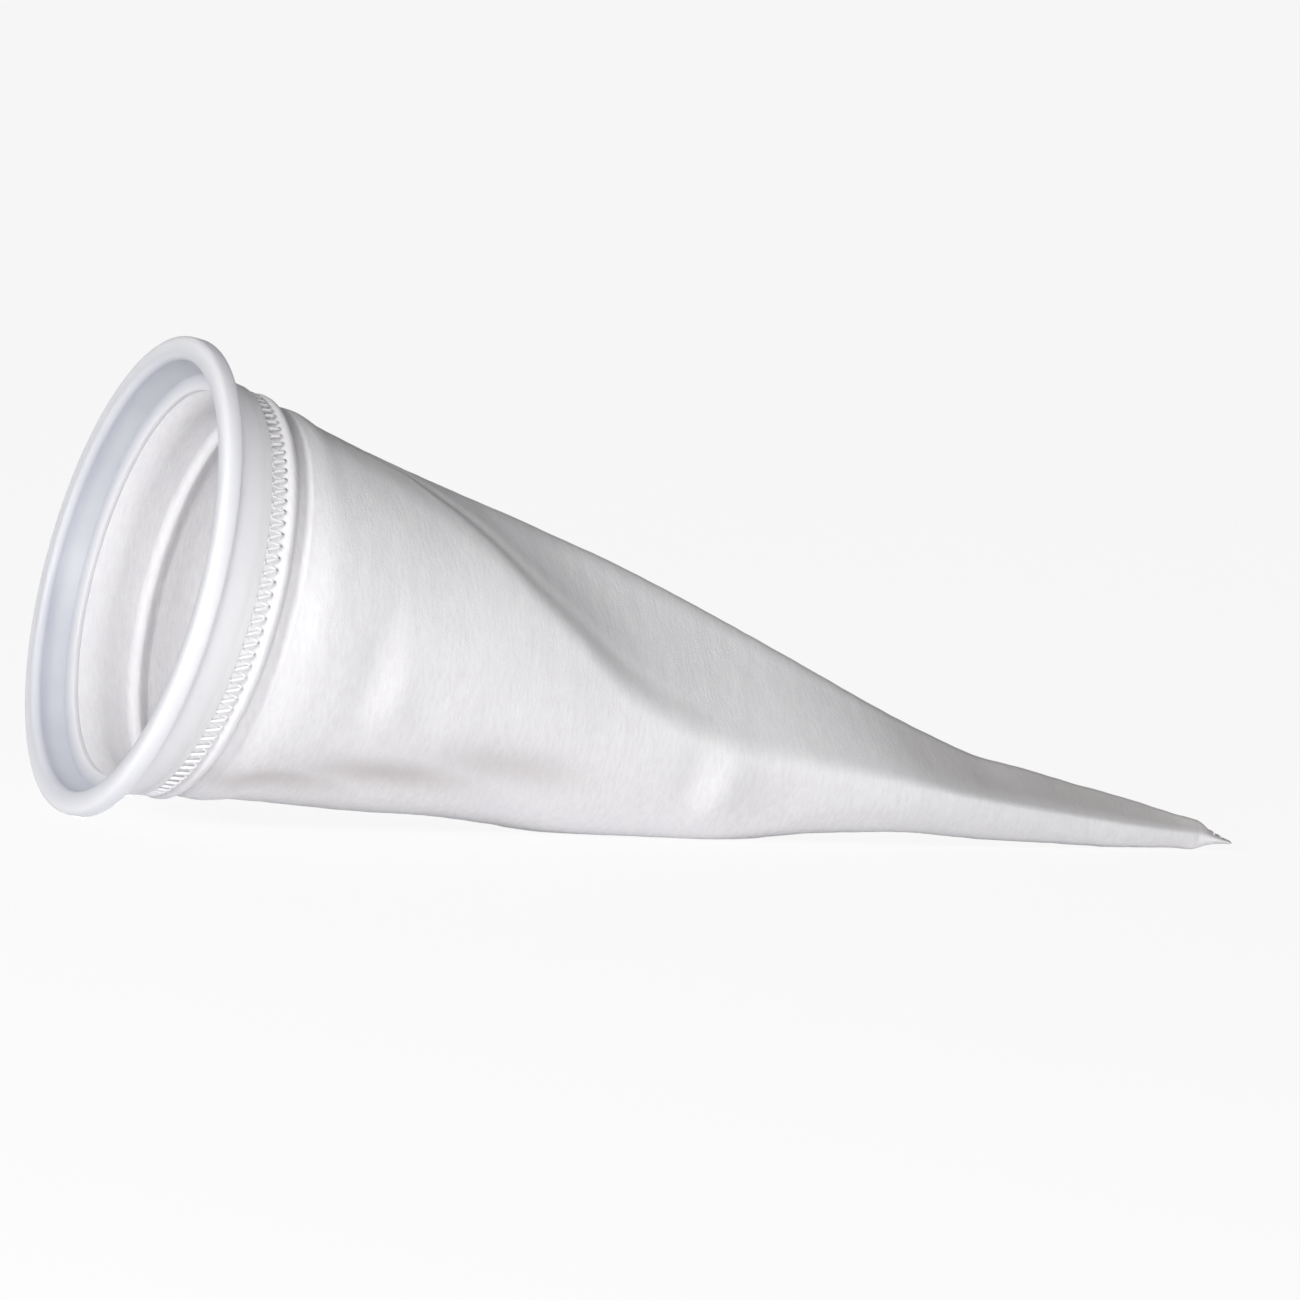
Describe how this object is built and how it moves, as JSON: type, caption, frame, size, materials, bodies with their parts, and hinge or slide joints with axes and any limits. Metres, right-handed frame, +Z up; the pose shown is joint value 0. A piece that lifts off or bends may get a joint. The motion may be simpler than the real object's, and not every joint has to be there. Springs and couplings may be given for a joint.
{
  "type": "filter bag",
  "caption": "Conical needle-felt liquid filter bag with a moulded plastic collar at its mouth, lying empty on its side.",
  "frame": {"origin": "middle of the lying bag's footprint, on the ground under it", "axes": "+X from the mouth towards the point, +Z up from the ground, +Y to the side away from the picture's camera"},
  "size_m": [0.4674, 0.18, 0.1766],
  "materials": {
    "collar_plastic": "milky translucent moulded polypropylene, satin gloss",
    "felt": "white needle-punched felt, matt and slightly fibrous",
    "thread": "white polypropylene sewing thread, dull"
  },
  "bodies": {
    "root": {"collar": "collar_plastic", "felt_bag": "felt", "seam_thread": "thread"}
  },
  "joints": []
}
